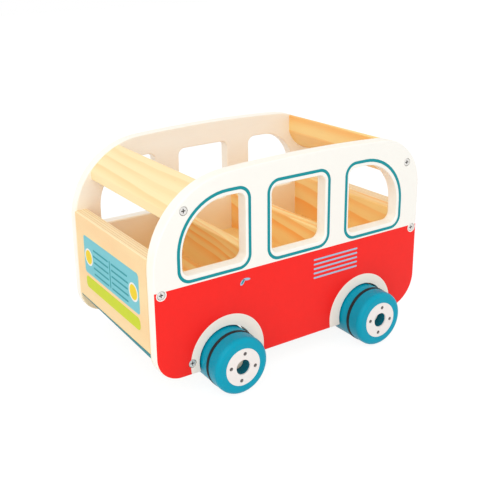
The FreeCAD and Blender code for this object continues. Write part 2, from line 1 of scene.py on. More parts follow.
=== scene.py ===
import math
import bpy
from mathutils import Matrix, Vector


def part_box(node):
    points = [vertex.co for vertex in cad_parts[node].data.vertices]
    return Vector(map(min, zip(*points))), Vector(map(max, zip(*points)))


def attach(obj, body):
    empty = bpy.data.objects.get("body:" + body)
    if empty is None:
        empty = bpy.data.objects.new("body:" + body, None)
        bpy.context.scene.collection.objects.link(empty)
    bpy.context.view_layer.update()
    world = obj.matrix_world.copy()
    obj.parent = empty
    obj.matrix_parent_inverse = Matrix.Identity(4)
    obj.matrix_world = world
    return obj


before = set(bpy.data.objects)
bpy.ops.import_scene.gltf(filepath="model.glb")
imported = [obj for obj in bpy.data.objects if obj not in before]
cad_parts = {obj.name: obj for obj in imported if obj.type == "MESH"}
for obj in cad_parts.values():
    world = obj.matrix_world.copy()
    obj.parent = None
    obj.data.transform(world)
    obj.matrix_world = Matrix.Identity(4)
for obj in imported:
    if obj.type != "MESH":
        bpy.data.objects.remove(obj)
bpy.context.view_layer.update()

from types import SimpleNamespace

import bmesh
import bpy
from bpy.props import FloatProperty, FloatVectorProperty, PointerProperty
from mathutils import Matrix, Vector

bl_info = {
    "name": "Toy Bus Finish",
    "version": (1, 0, 0),
    "blender": (4, 5, 0),
    "location": "3D View > Sidebar > Toy Bus",
    "description": "Finishes a wooden toy bus: sealed pine, plywood, printed sides, painted wheels",
    "category": "Object",
}

MM = 0.001
SIDES = {"right": 1, "left": -1}
ENDS = {"front": -1, "rear": 1}
BODY = "body"

PANEL_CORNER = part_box("side_panel_right")[1]
FRONT_LOW, FRONT_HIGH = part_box("front_panel")
HALF_WIDTH = PANEL_CORNER.x / MM
HALF_LENGTH = PANEL_CORNER.y / MM

# Lengths below are in millimetres, unless they say something else.

# The studio: the floor's size in metres, its colour, and the strength and share of its own white,
# the colour of the light from all round, and the nearest distance that the camera sees, in metres
FLOOR_SIZE = 8
FLOOR_TINT = (0.93, 0.93, 0.92, 1)
FLOOR_GLOW = 1.12
FLOOR_GLOW_SHARE = 0.80
SKY_TINT = (1.0, 0.985, 0.96, 1)
WHITE = (1, 1, 1, 1)
CLIP_START = 0.05

# A hub disc's four dimples: turn of their cross in degrees, radius of their circle and of each
DIMPLE_TURN = -9.0
DIMPLE_CIRCLE = 11.0
DIMPLE_RADIUS = 1.5
# Radius round a wheel's axle within which the paint gets painted shade, and depth below which a
# screw's slot gets painted shade
BORE_SHADE_RADIUS = 6.6
SLOT_SHADE_DEPTH = 1.1
# How soft the edge of a print is, and the edge of the one that wraps round a board
PRINT_EDGE = 0.05
WRAP_EDGE = 0.04

# Each pine board's log: its heart along Y and up, how far the grain runs out along Y and up for
# each millimetre along X, where in the noise the board lies, the width of its growth rings, and
# its tone; the shaded tone, on boards inside the cabin, is a darker, warmer copy of the pine
# with painted shade and bounce light
LOGS = {
    "front_roof_plank": ((-420, 60), (0.006, 0.016), 1.0, 10.5, "pale"),
    "rear_roof_plank": ((70, -160), (0.020, 0.030), 7.0, 15.0, "honey"),
    "floor_board": ((10, -30), (0.050, 0.020), 13.0, 7.0, "honey"),
    "front_seat_back": ((-72, 66), (0.030, 0.060), 19.0, 4.6, "honey"),
    "middle_seat_back": ((66, 74), (-0.040, 0.050), 25.0, 5.2, "honey"),
    "rear_seat_back": ((40, 60), (0.020, 0.040), 31.0, 5.4, "honey"),
    "front_axle_block": ((-69, -20), (0.030, 0.020), 37.0, 5.0, "pale"),
    "rear_axle_block": ((69, -24), (-0.030, 0.020), 43.0, 5.0, "pale"),
    "front_crossbar": ((-80, 0), (0.020, 0.020), 49.0, 3.5, "pale"),
    "rear_crossbar": ((80, 0), (-0.020, 0.020), 55.0, 3.5, "pale"),
}
# The colours of early and late wood of each tone; the shaded tone paints shade and bounce light
TONES = {"pale": ("pine_pale", "pine_dark"), "honey": ("honey_pale", "honey_dark")}
# Where late wood sets in and ends within a growth ring, as a share of its width and its softness
LATE_WOOD_START = (0.56, 0.40)
LATE_WOOD_END = (0.955, 0.045)
# The dowels' log: height of its heart over the axle, and the width of its growth rings
DOWEL_HEART = 9
DOWEL_RING = 1.3
# Where in the noise the end panels and the dowels lie
PLYWOOD_SEED = 61.0
DOWEL_SEED = 71.0
# Plywood: number of layers, depth of the skin that shows a veneer's figure, width of that figure
PLY_LAYERS = 5
PLY_SKIN = 0.3
PLY_FIGURE = 7.5
# Side panels: width of their grain, depth of the outer part that stays pale inside the cabin, and
# the height at which the painted warm bounce light and shade on their lower inner faces ends, with
# its softness
PANEL_GRAIN = 5.2
PANEL_PALE = 9.0
PANEL_BOUNCE_TOP = (100.0, 45.0)
# The seal on the boards
WOOD_IOR = 1.45
SEAL = {"coat": 0.10, "coat_roughness": 0.3, "ior": WOOD_IOR}

# Steps in the rounding of a plate's corner, of a line's end and of an oval
CORNER_STEPS = 14
LINE_END_STEPS = 4
OVAL_STEPS = 64
# Corner radius of a line's end, as a share of half the line's width
LINE_END = 0.9
# Vertices nearer to a point than this lie at it
SAME_PLACE = 0.01
# Rows of vent stripes on a side and of lines on each half of the grille
VENT_ROWS = 5
GRILLE_ROWS = 5
# How much longer every second line of the grille is
GRILLE_STEP = 1
# Slope of the door handle's body and tail, in degrees
HANDLE_TURN = 52
HANDLE_TAIL_TURN = -8
# Height of a print that lies on another, and of one on top of that, as shares of the first's
SECOND_PRINT = 1.8
THIRD_PRINT = 2.5

SHADER_SOCKETS = {"ior": "IOR", "gloss": "Specular IOR Level", "coat": "Coat Weight",
                  "coat_roughness": "Coat Roughness"}


def named(text):
    """Name and description of a property from one text, with a colon between them."""
    name, description = text.split(": ")
    return {"name": name, "description": description}


def length_property(text, size):
    """A length, given in millimetres."""
    return FloatProperty(**named(text), unit="LENGTH", precision=4, default=size * MM)


def lengths_property(text, sizes):
    """A few lengths that belong together, given in millimetres."""
    return FloatVectorProperty(**named(text), unit="LENGTH", precision=4, size=len(sizes),
                               default=[size * MM for size in sizes])


def angle_property(text, degrees):
    """An angle, given in degrees."""
    return FloatProperty(**named(text), subtype="ANGLE", default=math.radians(degrees))


def pixel_property(text, pixels):
    """A distance in the picture, given in pixels."""
    return FloatProperty(**named(text), subtype="PIXEL", default=pixels)


def colour_property(text, default):
    """A colour as it is seen on screen, from 0 to 255."""
    return FloatVectorProperty(**named(text), subtype="COLOR_GAMMA", size=3, min=0, max=1,
                               default=[channel / 255 for channel in default])


class BusCamera(bpy.types.PropertyGroup):
    """Where the picture is taken from"""
    azimuth: angle_property("Azimuth: Turn round the bus from its front", 60.127)
    elevation: angle_property("Elevation: Height of the view above the horizon", 17.227)
    roll: angle_property("Roll: Turn of the camera about its own line of sight", -1.936)
    distance: length_property("Distance: How far the camera stands from its target", 661.0)
    aside: length_property("Aside: Shift of the camera's target along the picture's width", -45.98)
    above: length_property("Above: Height of the camera's target over the floor", 127.21)
    focal_pixels: pixel_property("Focal length: Focal length in pixels of the picture", 764.8)
    centre_across: pixel_property(
        "Centre across: Where the lens axis meets the picture, from its left edge", 190.0)
    centre_down: pixel_property(
        "Centre down: Where the lens axis meets the picture, from its top edge", 190.0)
    picture_width: pixel_property("Picture width: Width of the picture", 500)
    picture_height: pixel_property("Picture height: Height of the picture", 499)


class BusLight(bpy.types.PropertyGroup):
    """The soft studio light"""
    sky: FloatProperty(
        name="Sky", description="Strength of the light from all round", default=0.87)
    key: FloatProperty(
        name="Key", description="Power of the large lamp in front", unit="POWER", default=4.5)
    fill: FloatProperty(
        name="Fill", description="Power of the lamp above", unit="POWER", default=4.0)
    key_place: lengths_property("Key place: Where the large lamp hangs", (1300, -900, 900))
    fill_place: lengths_property("Fill place: Where the lamp above hangs", (0, -1100, 1500))
    lamp_size: length_property("Lamp size: Width of each lamp", 1200)


class BusColours(bpy.types.PropertyGroup):
    """Colours of the bus as they look in even light"""
    side_white: colour_property("Side white: Print above the red", (253, 252, 247))
    side_red: colour_property("Side red: Print on the lower half of each side", (252, 34, 28))
    bare_board: colour_property(
        "Bare board: Sealed edges and backs of the side panels", (255, 252, 244))
    bare_grain: colour_property("Bare grain: Grain of the side panels", (253, 242, 224))
    arch_cream: colour_property("Arch cream: Unprinted rings round the wheels", (255, 246, 236))
    line_teal: colour_property("Line teal: Lines round the windows", (10, 148, 158))
    wheel_blue: colour_property("Wheel blue: Paint on the wheels", (0, 161, 190))
    hub_white: colour_property("Hub white: Discs on the wheels", (244, 240, 238))
    dimple_grey: colour_property("Dimple grey: Dimples in the discs", (77, 71, 71))
    rubber_black: colour_property("Rubber black: Rings in the treads", (23, 31, 33))
    rubber_dust: colour_property("Rubber dust: Duller spots on the rings", (46, 56, 59))
    zinc_bright: colour_property("Zinc bright: Screws", (247, 245, 242))
    zinc_dull: colour_property("Zinc dull: Duller spots on the screws", (219, 217, 214))
    # Painted shade for the screws' slots
    slot_brown: colour_property("Slot brown: Slots of the screws", (66, 56, 51))
    grille_blue: colour_property("Grille blue: Print on the front", (118, 198, 210))
    grille_line: colour_property("Grille line: Lines on the grille", (30, 150, 160))
    lamp_yellow: colour_property("Lamp yellow: Headlights", (240, 210, 22))
    strip_lime: colour_property("Strip lime: Bumper strip", (204, 216, 24))
    vent_blue: colour_property("Vent blue: Vent stripes on the sides", (166, 196, 222))
    foot_teal: colour_property("Foot teal: Strip under the front panel", (52, 136, 146))
    pine_pale: colour_property("Pine pale: Early wood of the pale boards", (254, 231, 179))
    pine_dark: colour_property("Pine dark: Late wood of the pale boards", (248, 206, 140))
    # A darker, warmer copy of the pine for boards inside the cabin: painted shade and bounce light
    honey_pale: colour_property("Honey pale: Early wood of the darker boards", (255, 221, 149))
    honey_dark: colour_property("Honey dark: Late wood of the darker boards", (253, 165, 58))
    dowel_pale: colour_property("Dowel pale: Bare wood of the axles", (255, 238, 214))
    ply_face: colour_property("Ply face: Plywood's outer veneer", (250, 220, 166))
    ply_blush: colour_property("Ply blush: Warmer clouds in the outer veneer", (250, 203, 146))
    ply_core: colour_property("Ply core: Plywood's inner layers", (255, 236, 194))
    glue_brown: colour_property(
        "Glue brown: Lines between the plywood's layers", (200, 144, 88))


class BusPrints(bpy.types.PropertyGroup):
    """Sizes of what is printed on the bus, and of the strip under its front"""
    red_top: length_property("Red top: Height of the red print's upper edge", 90.5)
    red_margin: length_property(
        "Red margin: How far the print wraps into the rounded edge", 0.65)
    arch_ring: length_property(
        "Arch ring: Radius of the unprinted ring round a wheel arch", 33.8)
    arch_along: length_property(
        "Arch along: Distance of the ring's centre from the bus's middle", 67.7)
    arch_up: length_property("Arch up: Height of the ring's centre", 23.4)
    screw_spot: length_property(
        "Screw spot: Radius of the bare spot round a screw in the print", 4.3)
    foot: lengths_property(
        "Foot: Half its length, its height on the right and on the left, its setback",
        (65.9, 3.0, 0.2, 0.4))
    print_height: length_property("Print height: How far a print stands on its board", 0.12)
    front_window: lengths_property(
        "Front window: Its front, rear, lower and upper edge", (-105.4, -49.7, 97.5, 152.7))
    middle_window: lengths_property(
        "Middle window: Its front, rear, lower and upper edge", (-25.5, 27.0, 97.5, 152.7))
    rear_window: lengths_property(
        "Rear window: Its front, rear, lower and upper edge", (51.5, 105.3, 97.5, 152.7))
    window_corner: length_property("Window corner: Radius of a window's plain corners", 6.5)
    front_window_arch: length_property("Front window arch: Radius of its large corner", 40.0)
    rear_window_arch: length_property("Rear window arch: Radius of its large corner", 37.0)
    line_gap: lengths_property(
        "Line gap: From a window's edge to its line, along and up", (2.1, 3.1))
    line_width: length_property("Line width: Width of the window lines", 2.5)
    vents: lengths_property(
        "Vents: Front end, rear end, height of the top stripe, step", (15.9, 62.2, 82.5, 3.95))
    vent_width: length_property("Vent width: Width of a vent stripe", 1.5)
    handle: lengths_property(
        "Handle: Place along and up, length and width of its body", (-53.7, 80.8, 5.6, 3.0))
    handle_tail: lengths_property(
        "Handle tail: Place along and up, length and width of its tail", (-49.8, 82.6, 6.6, 2.1))
    handle_centre: lengths_property(
        "Handle centre: Place along and up, length and width of its centre",
        (-53.5, 81.0, 3.9, 1.3))
    front_aside: length_property(
        "Front aside: How far the front prints lie off the middle", 1.1)
    grille: lengths_property(
        "Grille: Half its width, lower edge, upper edge, corners", (51.6, 64.0, 97.7, 3.2))
    grille_rows: lengths_property(
        "Grille rows: Inner end, outer end, height of the top row, step", (2.9, 32.2, 89.1, 5.3))
    grille_stem: lengths_property(
        "Grille stem: Lower and upper end of the upright line", (67.0, 90.8))
    grille_line_width: length_property(
        "Grille line width: Width of the lines on the grille", 1.5)
    lamp: lengths_property(
        "Lamp: Distance from the middle and height of a headlight", (42.2, 79.8))
    lamp_rim: lengths_property("Lamp rim: Width and height of a headlight's rim", (15.6, 15.2))
    lamp_lens: lengths_property(
        "Lamp lens: Width and height of a headlight's lens", (12.6, 12.4))
    strip: lengths_property(
        "Strip: Half its width, lower edge, upper edge, corners", (51.0, 50.3, 61.0, 4.0))


class BusWood(bpy.types.PropertyGroup):
    """How the wood's grain runs"""
    fibre_width: length_property("Fibre width: Width of the fine fibres", 0.5)
    fibre_length: length_property("Fibre length: Length of the fine fibres", 26.0)
    layer_width: length_property("Layer width: Thickness of a plywood layer", 2.4)
    glue_width: length_property("Glue width: Thickness of the glue lines", 0.36)


def in_millimetres(kind, group):
    """The lengths of a property group in millimetres, by name."""
    def size(value):
        return value / MM if isinstance(value, float) else [part / MM for part in value]
    return SimpleNamespace(**{name: size(getattr(group, name)) for name in kind.__annotations__})


def colours():
    return bpy.context.scene.bus_colours


def prints():
    return in_millimetres(BusPrints, bpy.context.scene.bus_prints)


def wood():
    return in_millimetres(BusWood, bpy.context.scene.bus_wood)


def middle_of(node):
    """A node's middle along Y and up, in millimetres."""
    low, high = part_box(node)
    return (low.y + high.y) / 2 / MM, (low.z + high.z) / 2 / MM


def linear(colour):
    """A screen colour as the light it stands for."""
    def channel(share):
        if share <= 0.04045:
            return share / 12.92
        return ((share + 0.055) / 1.055) ** 2.4
    return tuple(channel(share) for share in colour) + (1.0,)


class Value:
    """A socket in a material, with arithmetic that adds Math nodes."""

    def __init__(self, recipe, socket):
        self.recipe = recipe
        self.socket = socket

    def math(self, operation, *others):
        return self.recipe.node("ShaderNodeMath", {"operation": operation},
                                dict(enumerate((self,) + others)))

    def __add__(self, other):
        return self.math("ADD", other)

    __radd__ = __add__

    def __sub__(self, other):
        return self.math("SUBTRACT", other)

    def __rsub__(self, other):
        return self.recipe.node("ShaderNodeMath", {"operation": "SUBTRACT"}, {0: other, 1: self})

    def __mul__(self, other):
        return self.math("MULTIPLY", other)

    __rmul__ = __mul__

    def __truediv__(self, other):
        return self.math("DIVIDE", other)

    def __abs__(self):
        return self.math("ABSOLUTE")

    def least(self, other):
        return self.math("MINIMUM", other)

    def most(self, other):
        return self.math("MAXIMUM", other)

    def fraction(self):
        return self.math("FRACT")

    def root(self):
        return self.math("SQRT")

    def sine(self):
        return self.math("SINE")

    def over(self, edge, softness):
        """0 below an edge and 1 above it, with a soft step between."""
        settings = {"interpolation_type": "SMOOTHSTEP", "clamp": True}
        sockets = {"Value": self, "From Min": edge - softness, "From Max": edge + softness,
                   "To Min": 0.0, "To Max": 1.0}
        return self.recipe.node("ShaderNodeMapRange", settings, sockets)

    def under(self, edge, softness):
        """1 below an edge and 0 above it."""
        return 1 - self.over(edge, softness)


def reach(first, second):
    """Distance from the crossing of two lines at a right angle, from the distances to each."""
    return (first * first + second * second).root()


class Recipe:
    """A material, or the world, that is put together node by node."""

    def __init__(self, owner):
        owner.use_nodes = True
        self.owner = owner
        self.tree = owner.node_tree
        self.tree.nodes.clear()
        self.coordinates = None

    def node(self, kind, settings=None, sockets=None, output=0):
        """Add one node: its settings first, then the values or links of its sockets."""
        made = self.tree.nodes.new(kind)
        for setting, value in (settings or {}).items():
            setattr(made, setting, value)
        for socket, value in (sockets or {}).items():
            if isinstance(value, Value):
                self.tree.links.new(value.socket, made.inputs[socket])
            else:
                made.inputs[socket].default_value = value
        return Value(self, made.outputs[output]) if len(made.outputs) else None

    def place(self):
        """The point on the piece in millimetres, as three values."""
        if self.coordinates is None:
            point = self.node("ShaderNodeTexCoord", output="Object")
            scaled = self.node("ShaderNodeVectorMath", {"operation": "SCALE"},
                               {0: point, "Scale": 1 / MM})
            split = self.node("ShaderNodeSeparateXYZ", sockets={0: scaled})
            outputs = split.socket.node.outputs
            self.coordinates = [Value(self, outputs[axis]) for axis in "XYZ"]
        return self.coordinates

    def noise(self, x_size, y_size, z_size, seed=0.0, detail=3.0, roughness=0.5):
        """Noise round a half, with blotches of one size along each axis, in millimetres."""
        x, y, z = self.place()
        return self.noise_at(x / x_size + seed, y / y_size, z / z_size, detail, roughness)

    def noise_at(self, x, y, z, detail=3.0, roughness=0.5):
        """Noise round a half, read at a place of its own."""
        vector = self.node("ShaderNodeCombineXYZ", sockets={"X": x, "Y": y, "Z": z})
        return self.node(
            "ShaderNodeTexNoise", {"noise_dimensions": "3D"},
            {"Vector": vector, "Scale": 1.0, "Detail": detail, "Roughness": roughness})

    def mix(self, factor, first, second):
        """Blend two colours."""
        return self.node("ShaderNodeMix", {"data_type": "RGBA"},
                         {0: factor, 6: first, 7: second}, output=2)

    def shade(self, colour, factor):
        """A colour made lighter or darker by a value round 1."""
        scale = self.node("ShaderNodeCombineXYZ", sockets={"X": factor, "Y": factor, "Z": factor})
        return self.node("ShaderNodeMix", {"data_type": "RGBA", "blend_type": "MULTIPLY"},
                         {0: 1.0, 6: colour, 7: scale}, output=2)

    def finish(self, colour, roughness, height, depth, metallic=0.0, **constants):
        """Join the surface shader: height is a share of the relief's depth, in millimetres."""
        bump = {"Strength": 1.0, "Distance": depth * MM, "Height": height}
        sockets = {"Base Color": colour, "Roughness": roughness, "Metallic": metallic,
                   "Normal": self.node("ShaderNodeBump", None, bump)}
        for name, value in constants.items():
            sockets[SHADER_SOCKETS[name]] = value
        shader = self.node("ShaderNodeBsdfPrincipled", None, sockets)
        self.output("ShaderNodeOutputMaterial", shader)
        return self.owner

    def output(self, kind, surface):
        self.node(kind, None, {"Surface": surface})


def new_recipe(name):
    return Recipe(bpy.data.materials.new(name))


def dress(piece, material):
    """Give a piece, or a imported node, one material all over."""
    piece.data.materials.clear()
    piece.data.materials.append(material)


def fibres(recipe, seed):
    """Fine streaks that run along X, round a half."""
    settings = wood()
    return recipe.noise(settings.fibre_length, settings.fibre_width, settings.fibre_width, seed,
                        detail=4.0, roughness=0.6)


def pine(name, heart, runout, seed, ring_width, tone):
    """Sealed pine cut from a log whose heart runs beside the board, along X."""
    early, late_colour = (linear(getattr(colours(), shade)) for shade in TONES[tone])
    recipe = new_recipe(name)
    x, y, z = recipe.place()
    # Growth rings lie round the heart, which wanders along the log, and waver a little
    wander = (recipe.noise(190, 70, 70, seed, detail=2.0) - 0.5) * 9
    waver = (recipe.noise(45, 12, 12, seed) - 0.5) * 1.3
    across = y - heart[0] + x * runout[0] + wander
    up = z - heart[1] + x * runout[1] + wander
    distance = reach(across, up) + waver
    ring = (distance / ring_width).fraction()
    uneven = recipe.noise_at(x / 200 + seed, distance / 15, 0.0, detail=2.0)
    late = ring.over(*LATE_WOOD_START) * ring.under(*LATE_WOOD_END)
    late = late * (uneven.over(0.48, 0.22) * 0.75 + 0.25)
    fibre = fibres(recipe, seed)
    flecks = recipe.noise(5.0, 0.9, 0.9, seed, detail=2.0).over(0.74, 0.05)
    colour = recipe.mix(late * 0.75, early, late_colour)
    tint = (fibre - 0.5) * 0.12 + (uneven - 0.5) * 0.08 - flecks * 0.16 + 1.0
    return recipe.finish(recipe.shade(colour, tint), roughness=0.46 + fibre * 0.12 - late * 0.05,
                         height=fibre * 0.6 + late * 0.5, depth=0.05, **SEAL)


def plywood(name, outer, seed, inner_veneer, figure_strength):
    """Sealed plywood whose layers are counted from the outer face, along Y."""
    shades, settings = colours(), wood()
    face, core = linear(shades.ply_face), linear(shades.ply_core)
    recipe = new_recipe(name)
    x, y, z = recipe.place()
    depth = abs(y - outer)
    layer = depth / settings.layer_width
    odd = (layer * 0.5).fraction().over(0.5, 0.02)
    glue = layer.fraction().under(settings.glue_width / settings.layer_width, 0.03)
    # The outer face itself has no glue line
    glue = glue * depth.over(1.0, 0.2)
    wander = (recipe.noise(70, 24, 26, seed, detail=2.0) - 0.5) * 22
    figure = ((z + x * 0.05 + wander) / PLY_FIGURE).sine() * 0.5 + 0.5
    cloud = recipe.noise(34, 20, 18, seed, detail=3.0)
    fibre = fibres(recipe, seed)
    end_grain = recipe.noise(0.7, 0.5, 0.7, detail=2.0)
    outside = recipe.mix(figure * 0.4 + (cloud - 0.5), face, linear(shades.ply_blush))
    # The inner face, towards the cabin, takes the shaded pine's colours: painted shade and bounce
    # light
    inside = recipe.mix(figure * figure_strength + (cloud - 0.5) * 0.4, *inner_veneer)
    # Both faces show a veneer's figure, and the edges between them the cut layers
    back = depth.over(settings.layer_width * PLY_LAYERS - PLY_SKIN, 0.1)
    veneer = recipe.mix(back, outside, inside)
    cut = recipe.mix(end_grain.over(0.5, 0.3) * 0.4 + odd * 0.3, core, face)
    colour = recipe.mix(depth.over(PLY_SKIN, 0.1) * (1 - back), veneer, cut)
    colour = recipe.mix(glue * 0.6, colour, linear(shades.glue_brown))
    colour = recipe.shade(colour, (fibre - 0.5) * 0.10 + 1.0)
    return recipe.finish(colour, roughness=0.46 + fibre * 0.1, height=fibre * 0.6 - glue * 0.8,
                         depth=0.05, **SEAL)


def side_board(name):
    """The side panels: printed outer faces, sealed bare edges and backs, and painted warm
    bounce light and shade low on the inner faces.
    """
    shades, sizes = colours(), prints()
    recipe = new_recipe(name)
    x, y, z = recipe.place()
    printed = abs(x).over(HALF_WIDTH - sizes.red_margin, WRAP_EDGE)
    wander = (recipe.noise(8, 60, 22, detail=2.0) - 0.5) * 26
    fibre = recipe.noise(0.6, 24, 0.6, detail=4.0, roughness=0.6)
    grain = ((z + y * 0.03 + wander) / PANEL_GRAIN).sine() * 0.5 + 0.5
    bare = recipe.mix(grain * 0.25, linear(shades.bare_board), linear(shades.bare_grain))
    # Painted warm bounce light and shade: the inner faces are warmer near the floor board
    inside = abs(x).under(HALF_WIDTH - PANEL_PALE, 1.0) * z.under(*PANEL_BOUNCE_TOP)
    bare = recipe.mix(inside * 0.5, bare, linear(shades.honey_pale))
    bare = recipe.shade(bare, (fibre - 0.5) * 0.08 + 1.0)
    ring = reach(abs(y) - sizes.arch_along, z - sizes.arch_up).under(sizes.arch_ring, PRINT_EDGE)
    spots = screw_spots(recipe, sizes.screw_spot)
    red = z.under(sizes.red_top, PRINT_EDGE) * (1 - ring) * (1 - spots)
    mottle = recipe.noise(9, 9, 9, detail=5.0, roughness=0.6)
    cream = recipe.shade(linear(shades.arch_cream), (fibre - 0.5) * 0.06 + 1.0)
    white = recipe.shade(linear(shades.side_white), (mottle - 0.5) * 0.03 + 1.0)
    ink_red = recipe.shade(linear(shades.side_red), (mottle - 0.5) * 0.10 + 1.0)
    face = recipe.mix(red, recipe.mix(ring, white, cream), ink_red)
    peel = recipe.noise(1.4, 1.4, 1.4, detail=2.0)
    return recipe.finish(recipe.mix(printed, bare, face),
                         roughness=0.40 + (mottle - 0.5) * 0.12 - printed * 0.06,
                         height=fibre * 0.5 + peel * 0.35, depth=0.035, gloss=0.2)


def screw_spots(recipe, radius):
    """1 near a screw of the end panels, on both ends of a side."""
    x, y, z = recipe.place()
    low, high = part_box("end_panel_screws")
    height = (low.z + high.z) / 2 / MM
    place = (high.y - (high.z - low.z) / 2) / MM
    return reach(abs(y) - place, z - height).under(radius, PRINT_EDGE)


def wheel_paint(name, colour):
    """Dipped paint on turned wood, with faint lathe marks under it and painted shade in the bore.
    """
    recipe = new_recipe(name)
    cloud = recipe.noise(12, 12, 12)
    peel = recipe.noise(1.8, 1.8, 1.8, detail=2.0)
    x, y, z = recipe.place()
    turning = recipe.noise_at(x / 0.35, 0.0, 0.0, detail=2.0)
    along, height = middle_of("front_wheel_right")
    # Painted shade: the paint is darker within the bore round the axle
    bore_shade = reach(abs(y) - abs(along), z - height).under(BORE_SHADE_RADIUS, 0.3)
    paint = recipe.shade(linear(colour), (cloud - 0.5) * 0.12 - bore_shade * 0.5 + 1.0)
    return recipe.finish(paint, roughness=0.32 + cloud * 0.08, height=peel * 0.6 + turning * 0.3,
                         depth=0.025, gloss=0.12, coat=0.05, coat_roughness=0.15)


def rubber(name):
    """Dull rubber with a little dust."""
    shades = colours()
    recipe = new_recipe(name)
    grit = recipe.noise(0.5, 0.5, 0.5, detail=4.0)
    dust = recipe.noise(6, 6, 6).over(0.5, 0.3)
    colour = recipe.mix(dust * 0.5, linear(shades.rubber_black), linear(shades.rubber_dust))
    return recipe.finish(colour, roughness=0.62 + grit * 0.2, height=grit, depth=0.06, gloss=0.3)


def hub_paint(name, end):
    """Satin off-white discs whose dimples are dark."""
    shades = colours()
    recipe = new_recipe(name)
    x, y, z = recipe.place()
    middle = middle_of(end + "_hub_disc_right")
    along = y - middle[0]
    rise = z - middle[1]
    # Distances to the two arms of the dimples' cross, whose nearest arm ends at a dimple
    turn = math.radians(DIMPLE_TURN)
    first = abs(along * math.cos(turn) + rise * math.sin(turn))
    second = abs(rise * math.cos(turn) - along * math.sin(turn))
    dimple = reach(first.most(second) - DIMPLE_CIRCLE, first.least(second))
    dimple = dimple.under(DIMPLE_RADIUS, 0.15)
    cloud = recipe.noise(5, 5, 5, detail=4.0)
    colour = recipe.shade(linear(shades.hub_white), (cloud - 0.5) * 0.05 + 1.0)
    colour = recipe.mix(dimple * 0.92, colour, linear(shades.dimple_grey))
    return recipe.finish(colour, roughness=0.42 + cloud * 0.12, height=cloud, depth=0.02,
                         gloss=0.3)


def dowel(name, end):
    """Axle dowel: long fibres on its side, growth rings on its ends."""
    shades = colours()
    recipe = new_recipe(name)
    x, y, z = recipe.place()
    middle = middle_of(end + "_axle")
    ring = reach(y - middle[0], z - middle[1] - DOWEL_HEART) / DOWEL_RING
    fibre = fibres(recipe, DOWEL_SEED)
    pores = recipe.noise(20, 0.3, 0.3)
    colour = recipe.mix(ring.fraction().over(0.6, 0.35) * 0.2,
                        linear(shades.dowel_pale), linear(shades.pine_dark))
    colour = recipe.shade(colour, (fibre - 0.5) * 0.10 + (pores - 0.5) * 0.10 + 1.0)
    return recipe.finish(colour, roughness=0.6 + fibre * 0.1, height=fibre + pores, depth=0.05,
                         ior=WOOD_IOR)


def zinc(name):
    """Plated steel with a faint grain and painted shade in its recesses."""
    shades = colours()
    recipe = new_recipe(name)
    x, y, z = recipe.place()
    cloud = recipe.noise(1.2, 1.2, 1.2, detail=4.0)
    # Painted shade: below this depth the slot turns dark brown and less metallic
    painted_slot_shade = abs(x).under(HALF_WIDTH - SLOT_SHADE_DEPTH, 0.2)
    colour = recipe.mix(cloud, linear(shades.zinc_bright), linear(shades.zinc_dull))
    colour = recipe.mix(painted_slot_shade * 0.9, colour, linear(shades.slot_brown))
    return recipe.finish(colour, roughness=0.30 + cloud * 0.2, height=cloud, depth=0.02,
                         metallic=0.8 - painted_slot_shade * 0.4)


def ink(name, colour):
    """Printed ink with a faint unevenness."""
    recipe = new_recipe(name)
    mottle = recipe.noise(4, 4, 4, detail=5.0, roughness=0.6)
    peel = recipe.noise(1.0, 1.0, 1.0, detail=2.0)
    shade = recipe.shade(linear(colour), (mottle - 0.5) * 0.12 + 1.0)
    return recipe.finish(shade, roughness=0.40 + mottle * 0.12, height=peel, depth=0.02,
                         gloss=0.2)


def deselect():
    if bpy.context.object is not None and bpy.context.object.mode != "OBJECT":
        bpy.ops.object.mode_set(mode="OBJECT")
    bpy.ops.object.select_all(action="DESELECT")


def begin_print(name):
    """An empty flat mesh in edit mode, to which plates are added."""
    deselect()
    bpy.ops.mesh.primitive_plane_add(size=1)
    sheet = bpy.context.object
    sheet.name = name
    sheet.data.name = name
    bpy.ops.object.mode_set(mode="EDIT")
    bpy.ops.mesh.select_mode(type="VERT")
    bpy.ops.mesh.select_all(action="SELECT")
    bpy.ops.mesh.delete(type="VERT")
    return sheet


def on_drawing(across, up):
    """A point of the flat drawing, given in millimetres."""
    return Vector((across, up, 0)) * MM


def select_at(sheet, across, up):
    """Select the vertices at one point of the drawing, in millimetres."""
    point = on_drawing(across, up)
    edit = bmesh.from_edit_mesh(sheet.data)
    for vertex in edit.verts:
        vertex.select = (vertex.co - point).length < SAME_PLACE * MM
    edit.select_flush_mode()
    bmesh.update_edit_mesh(sheet.data)


def add_plate(sheet, left, right, low, high, radii, segments=CORNER_STEPS):
    """Add a rectangle with a radius at each corner from lower left, anticlockwise."""
    middle = on_drawing((left + right) / 2, (low + high) / 2)
    bpy.ops.mesh.select_all(action="DESELECT")
    bpy.ops.mesh.primitive_plane_add(size=1, location=middle)
    bpy.ops.transform.resize(value=((right - left) * MM, (high - low) * MM, 1),
                             center_override=middle)
    corners = [(left, low), (right, low), (right, high), (left, high)]
    for corner, radius in zip(corners, radii):
        select_at(sheet, *corner)
        bpy.ops.mesh.bevel(offset=radius * MM, segments=segments, affect="VERTICES",
                           clamp_overlap=False)


def add_bar(sheet, left, right, low, high, width):
    """Add a plate with rounded ends, for a line of some width."""
    add_plate(sheet, left, right, low, high, (width / 2 * LINE_END,) * 4, LINE_END_STEPS)


def add_line(sheet, left, right, middle, width):
    """Add a level line with rounded ends."""
    half = width / 2
    add_bar(sheet, left, right, middle - half, middle + half, width)


